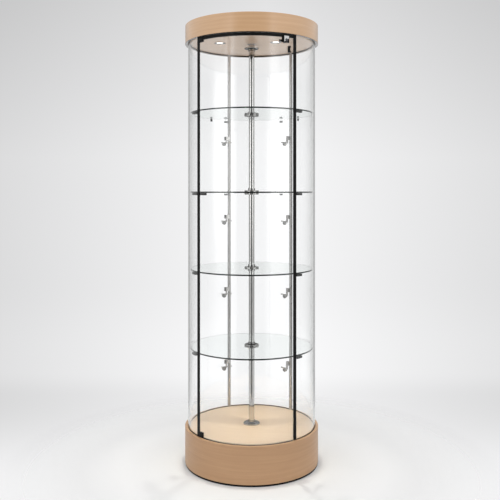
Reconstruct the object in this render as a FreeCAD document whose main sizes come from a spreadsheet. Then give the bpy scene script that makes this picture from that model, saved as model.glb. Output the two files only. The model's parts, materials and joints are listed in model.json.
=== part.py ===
import FreeCAD, Part
import math
import os

import Sketcher

# Round glass display tower with a revolving carousel of glass shelves.
# Millimetres. +Z is up, the origin is on the floor under the pole's axis, and the
# door faces -Y. Angles go round the pole from the middle of the door, and grow
# towards +X. A piece that sits off the axis is drawn at the door's middle, at
# (across, -radius), and then swung round the pole by its angle.

doc = FreeCAD.newDocument("display_tower")
sheet = doc.addObject("Spreadsheet::Sheet", "sizes")

DRIVING_SIZES = (
    # casing
    ("cabinet_height", 1960.0, "floor to the top of the canopy"),
    ("band_radius", 300.0, "outside of the canopy and plinth bands"),
    ("band_wall", 12.0, "bent plywood of both bands"),
    ("band_rounding", 1.5, "rounded edges of both bands"),
    ("canopy_depth", 82.0, "height of the canopy band"),
    ("plinth_lift", 8.0, "floor to the plinth band"),
    ("plinth_height", 160.0, "height of the plinth band"),
    ("deck_thickness", 18.0, "display deck"),
    ("ceiling_recess", 5.0, "ceiling above the canopy's lower edge"),
    ("ceiling_thickness", 12.0, "ceiling panel"),
    ("carrier_width", 45.0, "rings that carry the deck and the ceiling"),
    ("carrier_thickness", 18.0, "rings that carry the deck and the ceiling"),
    ("board_thickness", 18.0, "floor board and roof board"),
    ("floor_board_level", 20.0, "underside of the floor board"),
    ("fit_gap", 0.1, "between pieces that are assembled together"),
    ("running_gap", 0.06, "radial clearance of a turning pin or shaft"),
    ("overcut", 20.0, "holes and slots are cut this far past a face"),
    # feet
    ("foot_radius", 22.0, "levelling foot pad"),
    ("foot_pad", 8.0, "height of the pad"),
    ("foot_stem", 5.0, "radius of the foot's stem"),
    ("foot_inset", 65.0, "plinth band's face to the middle of a foot"),
    ("stem_reach", 12.0, "stem inside the floor board"),
    ("toe_clearance", 0.8, "floor to the toe ring"),
    ("toe_set_back", 2.0, "toe ring behind the plinth band's face"),
    ("toe_width", 16.0, "toe ring inside the plinth band"),
    # glass
    ("glass_thickness", 6.0, "curved glass and shelves"),
    ("glazing_gap", 0.2, "each face of the glass in a channel, strip or clamp"),
    ("channel_wall", 1.0, "walls of the glazing channel"),
    ("channel_web", 2.0, "floor of the glazing channel"),
    ("lower_channel_lip", 2.0, "lower channel above the deck"),
    ("upper_channel_inset", 1.5, "upper channel above the canopy's lower edge"),
    ("strip_angle", 46.3, "middle of the black strips beside the door"),
    ("strip_width", 12.5, "width of those strips"),
    ("strip_cheek", 1.5, "strip beyond each face of the glass"),
    ("strip_bite", 5.5, "glass held inside a strip"),
    # rear posts
    ("post_radius", 8.0, "rear post"),
    ("left_post_angle", 150.5, "left rear post, counted to the left"),
    ("right_post_angle", 144.5, "right rear post"),
    ("post_groove", 3.0, "depth of the glazing grooves in a post"),
    ("spigot_radius", 3.8, "post ends in the wood"),
    # door
    ("hinge_gap", 0.5, "strip to the rounded end of the pivot clamps"),
    ("clamp_cheek", 3.0, "pivot clamp beyond each face of the glass"),
    ("clamp_length", 19.0, "pivot to the clamp's far end"),
    ("clamp_height", 20.0, "pivot clamps"),
    ("pivot_edge", 4.0, "pivot to the edge of the glass"),
    ("pin_radius", 2.0, "door pivots and lamp pivots"),
    ("pin_reach", 10.0, "door pivot inside its strip"),
    ("pin_end_gap", 2.0, "beyond the end of the door pivot"),
    ("door_gap", 2.0, "round the closed door"),
    ("rail_height", 11.5, "door's top rail"),
    ("rail_cheek", 2.0, "rail beyond each face of the glass"),
    ("pull_angle", 39.4, "door pull"),
    ("pull_drop", 77.5, "canopy's lower edge to the foot of the door pull"),
    ("pull_height", 27.5, "door pull"),
    ("pull_width", 10.5, "door pull"),
    ("pull_reach", 8.5, "door pull off the glass"),
    ("pull_waist", 4.5, "hollow of the door pull off the glass"),
    ("pull_lip", 3.0, "full lips at both ends of the door pull"),
    ("pull_slope", 5.0, "slope from a lip to the hollow"),
    # lock
    ("lock_angle", 35.9, "lock"),
    ("lock_drop", 28.0, "canopy's lower edge to the key"),
    ("plate_width", 34.0, "lock plate"),
    ("plate_drop", 9.0, "key to the lower edge of the lock plate"),
    ("plate_thickness", 3.0, "lock plate over the rail"),
    ("case_width", 25.0, "lock case"),
    ("case_height", 28.0, "lock case"),
    ("case_depth", 6.5, "lock case"),
    ("barrel_radius", 9.0, "lock barrel through the glass"),
    ("barrel_reach", 3.0, "lock barrel inside the door"),
    ("nut_wall", 1.0, "nut on the barrel"),
    ("nut_height", 2.5, "nut on the barrel"),
    ("plug_radius", 6.0, "key plug"),
    ("plug_stand", 0.4, "key plug beyond the lock case"),
    ("key_slot_width", 1.5, "key slot"),
    ("key_slot_length", 6.0, "key slot"),
    ("key_slot_depth", 3.0, "key slot"),
    ("tongue_length", 24.0, "lock tongue from the key's axis"),
    ("tongue_width", 10.0, "lock tongue"),
    ("tongue_thickness", 2.5, "lock tongue"),
    ("tongue_gap", 1.5, "barrel to the tongue"),
    ("keeper_gap", 0.5, "keeper to the tongue and to the rail"),
    ("keeper_width", 16.0, "keeper that the tongue turns behind"),
    ("keeper_drop", 17.0, "keeper below the ceiling"),
    # carousel
    ("pole_radius", 12.5, "pole"),
    ("pole_wall", 2.0, "pole tube"),
    ("shelf_gap", 5.9, "rim of a shelf to the curved glass"),
    ("shelf_bore_gap", 0.5, "shelf hole round the pole"),
    ("shelf_rise_4", 349.0, "deck to the underside of the lowest shelf"),
    ("shelf_rise_3", 350.0, "lowest shelf to the next"),
    ("shelf_rise_2", 345.0, "that shelf to the next"),
    ("shelf_rise_1", 353.0, "that shelf to the highest"),
    ("shelf_bevel", 0.8, "ground edge of a shelf"),
    ("hub_radius", 32.0, "shelf hubs"),
    ("hub_plate", 5.0, "round plate of the hub above a shelf"),
    ("hub_collar", 9.0, "collar on the plate of a hub"),
    ("hub_disc", 8.0, "disc below a shelf"),
    ("neck_radius", 16.0, "collar of a hub and of the base flange"),
    ("hub_rounding", 1.8, "rounded rims of the hubs"),
    ("grub_radius", 2.5, "grub screws in the hubs"),
    ("flange_radius", 36.5, "base flange on the deck"),
    ("flange_plate", 6.0, "base flange"),
    ("flange_collar", 16.0, "base flange with its collar"),
    ("flange_bevel", 2.0, "bevels of the base flange"),
    ("pole_clearance", 0.5, "pole in holes that do not guide it"),
    ("bush_wall", 5.4, "ceiling bush"),
    ("bush_flange", 3.0, "ceiling bush on top of the ceiling"),
    ("bush_lip", 5.4, "ceiling bush beyond its hole"),
    ("pole_stand", 1.5, "pole above the ceiling panel"),
    ("top_hub_drop", 16.0, "ceiling to the plate of the top hub"),
    # bearing and drive in the plinth
    ("bearing_radius", 26.0, "outside of the ball bearing"),
    ("race_wall", 4.2, "each ring of the bearing"),
    ("bearing_width", 15.0, "ball bearing"),
    ("ball_radius", 3.6, "bearing balls"),
    ("ball_clearance", 0.4, "balls to the outer ring's track"),
    ("housing_wall", 6.0, "bearing housing"),
    ("housing_cap", 9.0, "housing between bearing and deck"),
    ("housing_flange", 55.0, "radius of the housing's flange"),
    ("housing_mouth", 1.5, "housing round the pole's shoulder"),
    ("pole_shoulder", 3.5, "pole's shoulder on the inner ring"),
    ("shoulder_height", 6.0, "pole's shoulder on the inner ring"),
    ("pole_tail", 18.0, "pole below the bearing"),
    ("coupling_grip", 13.0, "coupling over the pole"),
    ("coupling_wall", 5.5, "drive coupling"),
    ("motor_shaft", 4.0, "radius of the motor's shaft"),
    ("shaft_reach", 9.0, "shaft inside the gearbox"),
    ("motor_gap", 4.0, "gearbox to the coupling"),
    ("shaft_end_gap", 2.0, "beyond the end of the shaft"),
    ("motor_radius", 26.0, "motor can"),
    ("motor_height", 18.0, "motor can"),
    ("gearbox_radius", 34.0, "gearbox"),
    ("gearbox_height", 22.0, "gearbox"),
    # shelf pads on the glass
    ("pad_gap", 0.4, "shelf to the pads under its rim"),
    ("bridge_inset", 2.6, "pad that passes behind the door's edge, off the glass"),
    ("bridge_angle", 39.0, "far end of that pad, counted to the left"),
    ("left_front_pad_angle", 55.7, "left wide black pads, counted to the left"),
    ("right_front_pad_angle", 52.8, "right wide black pads"),
    ("front_pad_width", 34.0, "wide black pads"),
    ("front_pad_height", 9.5, "wide black pads"),
    ("front_pad_reach", 14.0, "wide black pads off the glass"),
    ("left_rear_pad_angle", 129.0, "left narrow black pad, counted to the left"),
    ("right_rear_pad_angle", 133.4, "right narrow black pad"),
    ("rear_pad_width", 8.0, "narrow black pads"),
    ("rear_pad_height", 11.0, "narrow black pads"),
    ("rear_pad_reach", 6.0, "narrow black pads off the glass"),
    ("left_stud_angle", 146.2, "left grey studs, counted to the left"),
    ("right_stud_angle", 154.8, "right grey studs"),
    ("stud_width", 14.0, "grey studs"),
    ("stud_height", 9.0, "grey studs"),
    ("stud_reach", 10.0, "grey studs off the glass"),
    ("stud_gap", 5.0, "shelf to the grey studs"),
    # spot lamps on the rear posts
    ("lamp_drop_4", 127.5, "lowest shelf to its lamps"),
    ("lamp_drop_3", 124.5, "next shelf to its lamps"),
    ("lamp_drop_2", 117.0, "next shelf to its lamps"),
    ("lamp_drop_1", 90.0, "highest shelf to its lamps"),
    ("left_block_width", 25.5, "left lamp blocks"),
    ("right_block_width", 16.0, "right lamp blocks"),
    ("block_height", 18.0, "lamp block"),
    ("block_depth", 8.0, "lamp block"),
    ("block_side", 2.0, "post axis to the lamp block"),
    ("block_inset", 5.0, "post axis in to the back of the lamp block"),
    ("pivot_inset", 24.0, "post axis in to the lamp's pivot"),
    ("pivot_drop", 20.5, "lamp block's middle to the pivot"),
    ("cheek_thickness", 3.0, "cheek that carries the lamp"),
    ("cheek_depth", 11.0, "cheek that carries the lamp"),
    ("left_cheek_inset", 20.0, "left lamps: block's side to the cheek"),
    ("right_cheek_inset", 0.0, "right lamps: block's side to the cheek"),
    ("head_gap", 1.0, "cheek to the lamp head"),
    ("head_radius", 10.0, "lamp head"),
    ("head_depth", 12.0, "lamp head"),
    ("head_drop", 8.0, "pivot to the middle of the head"),
    ("head_bore", 8.0, "opening of the head"),
    ("head_bore_depth", 3.5, "opening of the head"),
    ("lens_thickness", 2.0, "lamp lens"),
    ("left_knob_stand", 14.0, "left lamps: cheek to the knob"),
    ("right_knob_stand", 2.0, "right lamps: head to the knob"),
    ("knob_length", 13.0, "tilt knob"),
    ("knob_radius", 3.0, "tilt knob"),
    # ceiling lights and supply
    ("light_angle", 70.7, "ceiling lights"),
    ("left_light_reach", 146.0, "pole axis to the left ceiling light"),
    ("right_light_reach", 120.0, "pole axis to the right ceiling light"),
    ("bezel_radius", 25.0, "ceiling light bezel"),
    ("bezel_flange", 2.0, "bezel under the ceiling"),
    ("can_radius", 21.5, "ceiling light can"),
    ("can_wall", 1.0, "ceiling light can"),
    ("can_height", 20.0, "ceiling light can"),
    ("driver_length", 110.0, "lamp driver"),
    ("driver_width", 46.0, "lamp driver"),
    ("driver_height", 26.0, "lamp driver"),
    ("driver_setback", 100.0, "pole axis to the driver"),
    ("inlet_width", 48.0, "mains inlet"),
    ("inlet_height", 28.0, "mains inlet"),
    ("inlet_depth", 36.0, "mains inlet"),
    ("inlet_level", 60.0, "lower edge of the inlet"),
    ("inlet_set_back", 2.0, "inlet behind the plinth's face"),
    ("socket_depth", 16.0, "hollow of the inlet"),
    ("socket_width", 26.0, "hollow of the inlet"),
    ("socket_height", 17.0, "hollow of the inlet"),
    ("contact_length", 9.6, "contacts of the inlet"),
    ("contact_width", 2.0, "contacts of the inlet"),
    ("contact_height", 4.2, "contacts of the inlet"),
    ("contact_pitch", 7.0, "contacts of the inlet"),
    ("contact_step", 1.7, "middle contact above the outer two"),
)

FEET = 4
FIRST_FOOT = 45
BALLS = 9
SHELVES = (1, 2, 3, 4)
# Shelves with narrow pads, shelves with studs, and the one whose left wide pad runs on.
PADDED = (1,)
STUDDED = (1, 2)
BRIDGED = 2
# A ring-shaped groove keeps its seam clear of the rings' seams by this angle.
SEAM_TURN = 45


class Size:
    """A number together with the sheet expression that it follows."""

    def __init__(self, value, text):
        self.value = value
        self.text = text

    def __add__(self, other):
        other = as_size(other)
        return Size(self.value + other.value, f"({self.text} + {other.text})")

    def __radd__(self, other):
        return as_size(other) + self

    def __sub__(self, other):
        other = as_size(other)
        return Size(self.value - other.value, f"({self.text} - {other.text})")

    def __rsub__(self, other):
        return as_size(other) - self

    def __mul__(self, other):
        other = as_size(other)
        return Size(self.value * other.value, f"({self.text} * {other.text})")

    def __rmul__(self, other):
        return as_size(other) * self

    def __truediv__(self, other):
        other = as_size(other)
        return Size(self.value / other.value, f"({self.text} / {other.text})")

    def __neg__(self):
        return as_size(0) - self


def as_size(number):
    """A plain number becomes a size that follows nothing."""
    if isinstance(number, Size):
        return number
    return Size(float(number), repr(float(number)))


def sine(angle):
    """Sine of an angle in degrees."""
    return Size(math.sin(math.radians(angle.value)), f"sin({angle.text})")


def cosine(angle):
    """Cosine of an angle in degrees."""
    return Size(math.cos(math.radians(angle.value)), f"cos({angle.text})")


def degrees_along(length, radius):
    """The angle in degrees that a length covers on a circle."""
    return as_size(length) / radius * (180.0 / math.pi)


def fill_sheet():
    """Write every driving size to the sheet and return them by name."""
    named = {}
    for row, (alias, value, note) in enumerate(DRIVING_SIZES, start=1):
        sheet.set(f"A{row}", note)
        sheet.set(f"B{row}", str(value))
        sheet.setAlias(f"B{row}", alias)
        named[alias] = Size(value, f"sizes.{alias}")
    return named


S = fill_sheet()
doc.recompute()

# Every sub-part that leaves the document as a node.
nodes = []


def node(thing):
    """Mark an object as a sub-part of the cabinet."""
    nodes.append(thing)
    return thing


def tie(thing, path, size):
    """Bind one property to the sheet."""
    thing.setExpression(path, as_size(size).text)


def move(thing, across=0, out=0, up=0):
    """Bind the place of an object."""
    tie(thing, "Placement.Base.x", across)
    tie(thing, "Placement.Base.y", out)
    tie(thing, "Placement.Base.z", up)


def swing(thing, angle):
    """Turn a finished object round the pole's axis."""
    tie(thing, "Placement.Rotation.Angle", angle)
    return thing


def turned(label, profile, start=None, sweep=None):
    """A body turned round the Z axis from a closed profile of (radius, height) corners."""
    body = doc.addObject("PartDesign::Body", label)
    planes = body.Origin.OriginFeatures
    upright = next(plane for plane in planes if plane.Role == "XZ_Plane")
    sketch = body.newObject("Sketcher::SketchObject", label + "_profile")
    sketch.AttachmentSupport = (upright, [""])
    sketch.MapMode = "FlatFace"
    corners = [(as_size(radius), as_size(height)) for radius, height in profile]
    points = [FreeCAD.Vector(radius.value, height.value, 0) for radius, height in corners]
    count = len(points)
    for index in range(count):
        line = Part.LineSegment(points[index], points[(index + 1) % count])
        sketch.addGeometry(line, False)
    for index in range(count):
        following = (index + 1) % count
        sketch.addConstraint(Sketcher.Constraint("Coincident", index, 2, following, 1))
    for index, (radius, height) in enumerate(corners):
        pin_corner(sketch, index, "DistanceX", radius, -2)
        pin_corner(sketch, index, "DistanceY", height, -1)
    revolution = body.newObject("PartDesign::Revolution", label + "_turning")
    revolution.Profile = sketch
    revolution.ReferenceAxis = (sketch, ["V_Axis"])
    revolution.Angle = 360.0
    if sweep is not None:
        tie(revolution, "Angle", sweep)
    if start is not None:
        swing(body, start - 90)
    return body


def pin_corner(sketch, index, direction, size, axis):
    """Hold one coordinate of a profile corner: on the axis, or at a size from it."""
    if size.value == 0:
        sketch.addConstraint(Sketcher.Constraint("PointOnObject", index, 1, axis))
        return
    number = sketch.addConstraint(Sketcher.Constraint(direction, -1, 1, index, 1, size.value))
    sketch.setExpression(f"Constraints[{number}]", size.text)


def tube(label, inner, outer, low, high, start=None, sweep=None):
    """A ring, or a sector of one, between two radii and two levels."""
    corners = ((inner, low), (outer, low), (outer, high), (inner, high))
    return turned(label, corners, start, sweep)


def arc_block(label, inner, outer, low, high, middle, width, radius):
    """A sector of a ring, as wide as a length measured at a radius."""
    sweep = degrees_along(width, radius)
    return tube(label, inner, outer, low, high, middle - sweep / 2, sweep)


def rim_names(feature, rims):
    """Names of the full circular edges that have a given radius and level."""
    names = []
    for number, edge in enumerate(feature.Shape.Edges, start=1):
        curve = edge.Curve
        if not isinstance(curve, Part.Circle) or not edge.isClosed():
            continue
        for radius, level in rims:
            near_radius = abs(curve.Radius - radius.value) < 1e-4
            near_level = abs(curve.Center.z - level.value) < 1e-4
            if near_radius and near_level:
                names.append(f"Edge{number}")
    return names


def dress(body, kind, size, rims):
    """Round (Fillet) or bevel (Chamfer) circular rims, given as (radius, level)."""
    doc.recompute()
    base = body.Tip
    feature = body.newObject("PartDesign::" + kind, body.Name + "_" + kind.lower())
    feature.Base = (base, rim_names(base, rims))
    tie(feature, "Radius" if kind == "Fillet" else "Size", size)
    body.Tip = feature
    return body


TURNS = {
    "X": FreeCAD.Rotation(FreeCAD.Vector(0, 1, 0), 90),
    "Y": FreeCAD.Rotation(FreeCAD.Vector(1, 0, 0), -90),
    "Z": FreeCAD.Rotation(),
}


def rod(label, radius, length, across=0, out=0, up=0, along="Z"):
    """A cylinder that starts at a point and runs along an axis."""
    cylinder = doc.addObject("Part::Cylinder", label)
    tie(cylinder, "Radius", radius)
    tie(cylinder, "Height", length)
    cylinder.Placement = FreeCAD.Placement(FreeCAD.Vector(), TURNS[along])
    move(cylinder, across, out, up)
    return cylinder


def block(label, width, depth, height, across=0, out=0, up=0):
    """A box with its lowest corner at a point."""
    box = doc.addObject("Part::Box", label)
    tie(box, "Length", width)
    tie(box, "Width", depth)
    tie(box, "Height", height)
    move(box, across, out, up)
    return box


def group(label, pieces):
    """Separate solids in one object."""
    compound = doc.addObject("Part::Compound", label)
    compound.Links = list(pieces)
    return compound


def fused(label, *pieces):
    """Pieces made as one."""
    fusion = doc.addObject("Part::MultiFuse", label)
    fusion.Shapes = list(pieces)
    return fusion


def cut(label, base, *tools):
    """A piece with others taken out of it."""
    result = doc.addObject("Part::Cut", label)
    result.Base = base
    result.Tool = tools[0] if len(tools) == 1 else group(label + "_tools", tools)
    return result


# Radii that several pieces share
band_inner = S["band_radius"] - S["band_wall"]
panel_edge = band_inner - S["fit_gap"]
channel_outer = panel_edge
glass_outer = channel_outer - S["channel_wall"] - S["glazing_gap"]
glass_inner = glass_outer - S["glass_thickness"]
glass_middle = glass_outer - S["glass_thickness"] / 2
groove_outer = glass_outer + S["glazing_gap"]
groove_inner = glass_inner - S["glazing_gap"]
channel_inner = groove_inner - S["channel_wall"]
deck_edge = channel_inner - S["fit_gap"]
carrier_inner = band_inner - S["carrier_width"]
shelf_edge = glass_inner - S["shelf_gap"]
foot_circle = S["band_radius"] - S["foot_inset"]
tool_face = S["band_radius"] + S["overcut"]

# Levels that several pieces share
canopy_level = S["cabinet_height"] - S["canopy_depth"]
ceiling_level = canopy_level + S["ceiling_recess"]
ceiling_top = ceiling_level + S["ceiling_thickness"]
deck_level = S["plinth_lift"] + S["plinth_height"]
deck_underside = deck_level - S["deck_thickness"]
floor_board_top = S["floor_board_level"] + S["board_thickness"]

# Drive levels in the plinth, from the deck down and from the floor board up
bearing_top = deck_underside - S["housing_cap"]
bearing_low = bearing_top - S["bearing_width"]
pole_foot = bearing_low - S["pole_tail"]
motor_top = floor_board_top + S["motor_height"]
gearbox_top = motor_top + S["gearbox_height"]
coupling_low = gearbox_top + S["motor_gap"]

# Undersides of the shelves, from the lowest (4) to the highest (1)
shelf_level = {4: deck_level + S["shelf_rise_4"]}
for number in SHELVES[-2::-1]:
    shelf_level[number] = shelf_level[number + 1] + S[f"shelf_rise_{number}"]

# Angles where the fixed glass begins and ends
strip_half = degrees_along(S["strip_width"] / 2, glass_middle)
strip_seat = degrees_along(S["strip_width"] / 2 - S["strip_bite"], glass_middle)
slack = degrees_along(S["fit_gap"], glass_middle)
post_half = degrees_along(S["post_radius"] + S["fit_gap"], glass_middle)
post_seat = degrees_along(S["post_radius"] - S["post_groove"] + S["fit_gap"], glass_middle)
strip_face = S["strip_angle"] - strip_half
left_post = -S["left_post_angle"]
right_post = S["right_post_angle"]

# The door's pivot: far enough from its strip for the rounded clamps to turn
clamp_round = S["glass_thickness"] / 2 + S["clamp_cheek"]
pivot_angle = -(strip_face - degrees_along(clamp_round + S["hinge_gap"], glass_middle))
pivot_across = glass_middle * sine(pivot_angle)
pivot_out = -(glass_middle * cosine(pivot_angle))
door_start = pivot_angle - degrees_along(S["pivot_edge"], glass_middle)
door_end = strip_face - degrees_along(S["door_gap"], glass_middle)
door_foot = deck_level + S["door_gap"]
door_top = canopy_level - S["door_gap"]
door_glass_foot = door_foot + S["channel_web"]
door_glass_top = door_top - S["channel_web"]
rail_low = door_top - S["rail_height"]
lock_level = canopy_level - S["lock_drop"]
pull_foot = canopy_level - S["pull_drop"]


def make_plinth():
    """Plinth: bent band, deck, its carrier, floor board, toe ring and feet."""
    band = tube("plinth_band_blank", band_inner, S["band_radius"], S["plinth_lift"], deck_level)
    rims = [(S["band_radius"], S["plinth_lift"]), (S["band_radius"], deck_level)]
    dress(band, "Fillet", S["band_rounding"], rims)
    mouth = block("plinth_inlet_mouth", S["inlet_width"], S["band_wall"] + S["overcut"] * 2,
                  S["inlet_height"], -S["inlet_width"] / 2, band_inner - S["overcut"],
                  S["inlet_level"])
    node(cut("plinth_band", band, mouth))
    hole = S["pole_radius"] + S["pole_clearance"] * 2
    node(tube("plinth_deck", hole, deck_edge, deck_underside, deck_level))
    node(tube("deck_carrier_ring", carrier_inner, panel_edge,
              deck_underside - S["carrier_thickness"], deck_underside))
    board = turned("floor_board_blank", (
        (0, S["floor_board_level"]), (panel_edge, S["floor_board_level"]),
        (panel_edge, floor_board_top), (0, floor_board_top)))
    feet = []
    holes = []
    for number in range(FEET):
        foot_angle = as_size(FIRST_FOOT + 360 / FEET * number)
        across = foot_circle * sine(foot_angle)
        out = -(foot_circle * cosine(foot_angle))
        stem_top = S["floor_board_level"] + S["stem_reach"]
        stem_length = stem_top - S["foot_pad"]
        pad = rod(f"foot_pad_{number + 1}", S["foot_radius"], S["foot_pad"], across, out)
        stem = rod(f"foot_stem_{number + 1}", S["foot_stem"], stem_length,
                   across, out, S["foot_pad"])
        feet.append(fused(f"foot_{number + 1}", pad, stem))
        holes.append(rod(f"foot_hole_{number + 1}", S["foot_stem"] + S["fit_gap"],
                         stem_length + S["fit_gap"], across, out, S["foot_pad"]))
    node(cut("floor_board", board, *holes))
    node(group("levelling_feet", feet))
    skirt = S["band_radius"] - S["toe_set_back"]
    toe_inner = band_inner - S["toe_width"]
    node(turned("toe_ring", (
        (toe_inner, S["toe_clearance"]), (skirt, S["toe_clearance"]), (skirt, S["plinth_lift"]),
        (panel_edge, S["plinth_lift"]), (panel_edge, S["floor_board_level"]),
        (toe_inner, S["floor_board_level"]))))


def light_places():
    """The two ceiling lights: side, and place across and out from the pole."""
    return [(side, S[side + "_light_reach"] * sine(angle),
             -(S[side + "_light_reach"] * cosine(angle)))
            for side, angle in (("left", -S["light_angle"]), ("right", S["light_angle"]))]


def make_canopy():
    """Canopy: bent band, ceiling with its carrier, and roof board."""
    band = tube("canopy_band", band_inner, S["band_radius"], canopy_level, S["cabinet_height"])
    rims = [(S["band_radius"], canopy_level), (S["band_radius"], S["cabinet_height"])]
    node(dress(band, "Fillet", S["band_rounding"], rims))
    hole = S["pole_radius"] + S["running_gap"] + S["bush_wall"] + S["fit_gap"]
    panel = tube("ceiling_blank", hole, deck_edge, ceiling_level, ceiling_top)
    light_holes = []
    for side, across, out in light_places():
        light_holes.append(rod(f"{side}_light_hole", S["can_radius"] + S["fit_gap"],
                               S["ceiling_thickness"] + S["overcut"] * 2, across, out,
                               ceiling_level - S["overcut"]))
    node(cut("ceiling_panel", panel, *light_holes))
    node(tube("ceiling_carrier_ring", carrier_inner, panel_edge,
              ceiling_top, ceiling_top + S["carrier_thickness"]))
    roof_low = S["cabinet_height"] - S["board_thickness"]
    node(turned("roof_board", (
        (0, roof_low), (panel_edge, roof_low),
        (panel_edge, S["cabinet_height"]), (0, S["cabinet_height"]))))


def glazing_spans():
    """The three fixed panes: name, angle of each end, and what holds each end."""
    return (
        ("left_side", left_post, "post", -S["strip_angle"], "strip"),
        ("right_side", S["strip_angle"], "strip", right_post, "post"),
        ("back", right_post, "post", 360 + left_post, "post"),
    )


def make_fixed_glass():
    """Two side panes and a back pane, with their channels in the plinth and the canopy."""
    seats = {"post": post_seat, "strip": strip_seat}
    faces = {"post": post_half, "strip": strip_half + slack}
    foot = deck_underside + S["channel_web"]
    head = ceiling_top - S["channel_web"]
    lower_top = deck_level + S["lower_channel_lip"]
    upper_low = canopy_level + S["upper_channel_inset"]
    lower = []
    upper = []
    for name, start, start_kind, end, end_kind in glazing_spans():
        pane_start = start + seats[start_kind]
        pane_end = end - seats[end_kind]
        node(tube(name + "_glass", glass_inner, glass_outer, foot + S["fit_gap"],
                  head - S["fit_gap"], pane_start, pane_end - pane_start))
        channel_start = start + faces[start_kind]
        sweep = end - faces[end_kind] - channel_start
        lower.append(turned(name + "_lower_channel", (
            (channel_inner, deck_underside), (channel_outer, deck_underside),
            (channel_outer, lower_top), (groove_outer, lower_top), (groove_outer, foot),
            (groove_inner, foot), (groove_inner, lower_top), (channel_inner, lower_top)),
            channel_start, sweep))
        upper.append(turned(name + "_upper_channel", (
            (channel_inner, upper_low), (groove_inner, upper_low), (groove_inner, head),
            (groove_outer, head), (groove_outer, upper_low), (channel_outer, upper_low),
            (channel_outer, ceiling_top), (channel_inner, ceiling_top)),
            channel_start, sweep))
    node(group("lower_glazing_channels", lower))
    node(group("upper_glazing_channels", upper))


def make_side_strips():
    """Black strips that close the edges of the side panes beside the door."""
    inner = glass_inner - S["strip_cheek"]
    outer = glass_outer + S["strip_cheek"]
    for name, side in (("hinge", -1), ("lock", 1)):
        middle = side * S["strip_angle"]
        bar = arc_block(name + "_side_bar", inner, outer, deck_level, canopy_level,
                        middle, S["strip_width"], glass_middle)
        bite = strip_half - strip_seat + slack
        reach = bite + strip_half
        first = middle + strip_seat - slack
        if side < 0:
            first = middle - strip_seat + slack - reach
        groove = tube(name + "_side_groove", groove_inner, groove_outer,
                      deck_level - S["overcut"], canopy_level + S["overcut"], first, reach)
        node(cut(name + "_side_strip", bar, groove))


def make_rear_posts():
    """Two steel posts, grooved for the panes and held by a spigot at each end."""
    groove_start = degrees_along(S["post_radius"] - S["post_groove"], glass_middle)
    groove_sweep = degrees_along(S["post_groove"] * 2, glass_middle)
    for name, angle in (("left", left_post), ("right", right_post)):
        shaft = rod(name + "_post_shaft", S["post_radius"], canopy_level - deck_level,
                    0, -glass_middle, deck_level)
        spigot = rod(name + "_post_spigot", S["spigot_radius"], ceiling_top - deck_underside,
                     0, -glass_middle, deck_underside)
        grooves = []
        for side in ("left", "right"):
            start = groove_start if side == "right" else -groove_start - groove_sweep
            grooves.append(tube(f"{name}_post_{side}_groove", groove_inner, groove_outer,
                                deck_underside, ceiling_top, start, groove_sweep))
        body = fused(name + "_post_body", shaft, spigot)
        node(swing(cut(name + "_rear_post", body, *grooves), angle))


def make_door():
    """Frameless curved door: glass, top rail, two pivot clamps and the pull."""
    pane = tube("door_pane", glass_inner, glass_outer, door_glass_foot + S["fit_gap"],
                door_glass_top - S["fit_gap"], door_start, door_end - door_start)
    lock_hole = rod("door_lock_hole", S["barrel_radius"] + S["fit_gap"] * 3, S["band_radius"],
                    0, -tool_face, lock_level, "Y")
    node(cut("door_glass", pane, swing(group("door_lock_hole_place", [lock_hole]),
                                       S["lock_angle"])))
    rail_start = pivot_angle + degrees_along(S["clamp_length"] + S["fit_gap"], glass_middle)
    rail_inner = glass_inner - S["rail_cheek"]
    rail_outer = glass_outer + S["rail_cheek"]
    node(turned("door_top_rail", (
        (rail_inner, rail_low), (groove_inner, rail_low), (groove_inner, door_glass_top),
        (groove_outer, door_glass_top), (groove_outer, rail_low), (rail_outer, rail_low),
        (rail_outer, door_top), (rail_inner, door_top)), rail_start, door_end - rail_start))
    lower_pin = door_foot - S["door_gap"] - S["pin_reach"]
    make_pivot_clamp("lower", door_foot, door_glass_foot, door_foot + S["clamp_height"] + S["overcut"],
                     lower_pin, door_foot + S["channel_web"] - lower_pin)
    upper_foot = door_top - S["clamp_height"]
    upper_pin = door_top - S["channel_web"]
    make_pivot_clamp("upper", upper_foot, upper_foot - S["overcut"], door_glass_top,
                     upper_pin, canopy_level + S["pin_reach"] - upper_pin)
    base = groove_outer
    tip = base + S["pull_reach"]
    waist = base + S["pull_waist"]
    low = pull_foot
    high = low + S["pull_height"]
    hollow_low = low + S["pull_lip"] + S["pull_slope"]
    hollow_high = high - S["pull_lip"] - S["pull_slope"]
    width = degrees_along(S["pull_width"], glass_outer)
    node(turned("door_pull", (
        (base, low), (tip, low), (tip, low + S["pull_lip"]), (waist, hollow_low),
        (waist, hollow_high), (tip, high - S["pull_lip"]), (tip, high), (base, high)),
        S["pull_angle"] - width / 2, width))


def make_pivot_clamp(name, low, slot_low, slot_high, pin_low, pin_length):
    """A clamp on a corner of the door, rounded about its pivot pin."""
    inner = glass_middle - clamp_round
    outer = glass_middle + clamp_round
    reach = degrees_along(S["clamp_length"], glass_middle)
    jaw = tube(name + "_clamp_jaw", inner, outer, low, low + S["clamp_height"],
               pivot_angle, reach)
    nose = rod(name + "_clamp_nose", clamp_round, S["clamp_height"],
               pivot_across, pivot_out, low)
    slot_start = door_start - slack
    slot = tube(name + "_clamp_slot", groove_inner, groove_outer, slot_low, slot_high,
                slot_start, reach * 2)
    shell = cut(name + "_clamp_shell", fused(name + "_clamp_solid", jaw, nose), slot)
    pin = rod(name + "_clamp_pin", S["pin_radius"], pin_length,
              pivot_across, pivot_out, pin_low)
    node(fused(name + "_pivot_clamp", shell, pin))


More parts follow.
